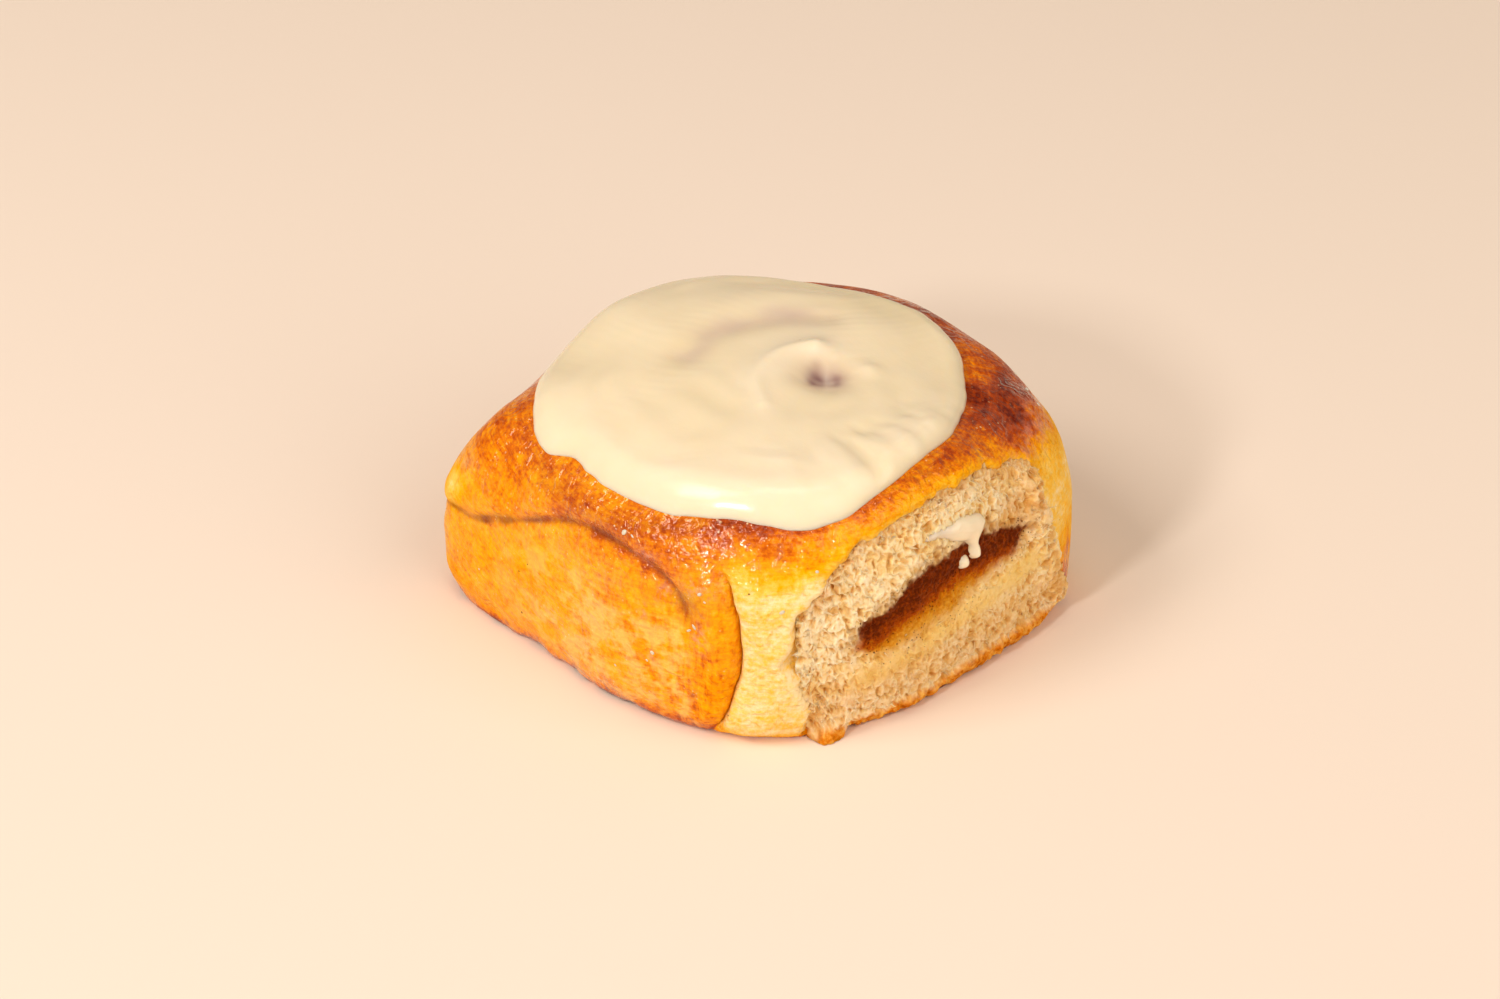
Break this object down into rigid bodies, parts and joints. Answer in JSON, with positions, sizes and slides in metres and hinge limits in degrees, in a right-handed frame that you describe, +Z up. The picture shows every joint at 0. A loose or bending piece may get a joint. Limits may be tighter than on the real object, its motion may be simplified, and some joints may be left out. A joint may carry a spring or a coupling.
{
  "type": "cinnamon roll",
  "caption": "Squarish pan-baked cinnamon roll with a spread of icing on its crown, a folded strip end on one side and a torn side that shows crumb and filling.",
  "frame": {"origin": "middle of the footprint, on the surface that the bun stands on", "axes": "+Z up out of the icing, -Y out of the smooth glazed side with the end of the dough strip, +X out of the torn side"},
  "size_m": [0.0999, 0.0992, 0.0527],
  "materials": {
    "baked_dough": "soft golden brown crust with a thin syrup glaze, cream crumb where it is torn",
    "icing": "wet, glossy, off-white cream cheese icing"
  },
  "bodies": {
    "root": {"bun": "baked_dough", "icing": "icing", "icing_splash": "icing"}
  },
  "joints": []
}
